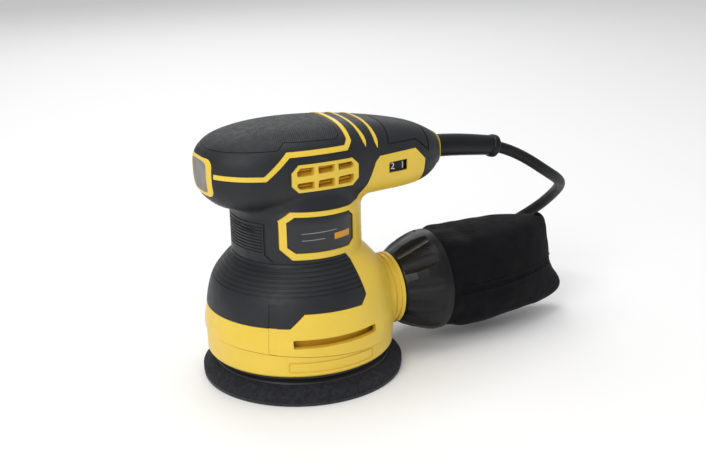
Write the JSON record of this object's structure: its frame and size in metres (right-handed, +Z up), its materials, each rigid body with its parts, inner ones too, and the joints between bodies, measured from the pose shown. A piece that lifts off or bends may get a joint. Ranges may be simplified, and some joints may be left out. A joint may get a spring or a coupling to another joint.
{
  "type": "random orbit sander",
  "caption": "Palm-grip electric sander: round pad under a vertical motor, rear handle, front rocker switch, side speed dial, pull-off dust bag and coiled mains cord.",
  "frame": {"origin": "on the motor axis, in the plane of the pad's hook face", "axes": "+Z up along the motor axis, +X towards the rear handle and dust bag, -Y the left side"},
  "size_m": [0.281, 0.2368, 0.1593],
  "materials": {
    "yellow_shell": "satin moulded ABS",
    "black_grip": "satin soft-touch overmould",
    "palm_rubber": "fine diagonal texture",
    "black_plastic": "moulded nylon",
    "gloss_black": "polished moulding",
    "clear_boot": "translucent dust boot",
    "label": "plain plate",
    "bag_cloth": "coated woven cloth",
    "pad_foam": "closed-cell foam",
    "hook_layer": "hook tape",
    "jacket": "satin cord jacket",
    "steel": "ground",
    "screw_steel": "zinc plated",
    "bearing_steel": "polished",
    "lamination": "varnished laminations",
    "copper": "enamelled winding wire",
    "brass": "satin",
    "carbon": "pressed carbon",
    "aluminium": "die cast",
    "board": "solder mask",
    "fan_plastic": "glass-filled nylon",
    "capacitor": "moulded box",
    "switch_plastic": "thermoset"
  },
  "bodies": {
    "housing": {"housing_left": "yellow_shell", "housing_right": "yellow_shell", "grip_left": "black_grip", "grip_right": "black_grip", "palm_pad": "palm_rubber", "switch_bezel": "yellow_shell", "switch_boot": "clear_boot", "label_plate_left": "label", "label_plate_right": "label", "lower_shroud": "yellow_shell", "shroud_screws": "screw_steel", "dust_skirt": "black_grip", "shell_screws": "screw_steel", "power_switch": "switch_plastic", "speed_board": "board", "capacitor": "capacitor", "switch_leads": "jacket", "cord_clamp": "black_plastic", "stator_core": "lamination", "field_coils": "copper", "brush_holders": "brass", "carbon_brushes": "carbon", "brush_springs": "steel", "upper_bearing_outer": "bearing_steel", "bearing_boot": "black_grip", "lower_bearing_outer": "bearing_steel", "bearing_plate": "aluminium", "bearing_plate_screws": "screw_steel", "dust_nozzle": "black_plastic", "strain_relief": "gloss_black", "power_cord": "jacket", "cord_tail": "jacket", "cord_coil": "jacket", "cord_tie": "black_plastic", "plug_body": "gloss_black", "plug_pins": "brass"},
    "rotor": {"armature_shaft": "steel", "armature_core": "lamination", "armature_windings": "copper", "commutator": "brass", "fan": "fan_plastic", "eccentric": "steel", "counterweight": "steel", "lower_bearing_inner": "bearing_steel", "upper_bearing_inner": "bearing_steel", "pad_bearing_outer": "bearing_steel"},
    "pad": {"pad_hook_layer": "hook_layer", "pad_foam": "pad_foam", "pad_backing_plate": "black_plastic", "pad_screws": "screw_steel", "pad_spindle": "steel", "pad_bearing_inner": "bearing_steel", "spindle_cap": "screw_steel"},
    "rocker": {"switch_rocker": "gloss_black"},
    "dial": {"speed_dial": "gloss_black"},
    "bag": {"dust_adapter": "gloss_black", "bag_retainer": "black_plastic", "dust_bag": "bag_cloth"}
  },
  "joints": [
    {"name": "rotor_spin", "type": "hinge", "parent": "housing", "child": "rotor", "pos_m": [0, 0, 0.06], "axis": [0, 0, 1], "continuous": true},
    {"name": "pad_spin", "type": "hinge", "parent": "rotor", "child": "pad", "pos_m": [0.00125, 0, 0.01], "axis": [0, 0, 1], "continuous": true},
    {"name": "rocker_tip", "type": "hinge", "parent": "housing", "child": "rocker", "pos_m": [-0.0525, 0, 0.1343], "axis": [0, 0, 1], "range_deg": [-18, 0]},
    {"name": "dial_turn", "type": "hinge", "parent": "housing", "child": "dial", "pos_m": [0.0568, -0.0172, 0.1285], "axis": [0, 0, 1], "range_deg": [-20.5, 184.5]},
    {"name": "bag_pull", "type": "slide", "parent": "housing", "child": "bag", "axis": [1, 0, 0], "range_m": [0, 0.025]}
  ]
}
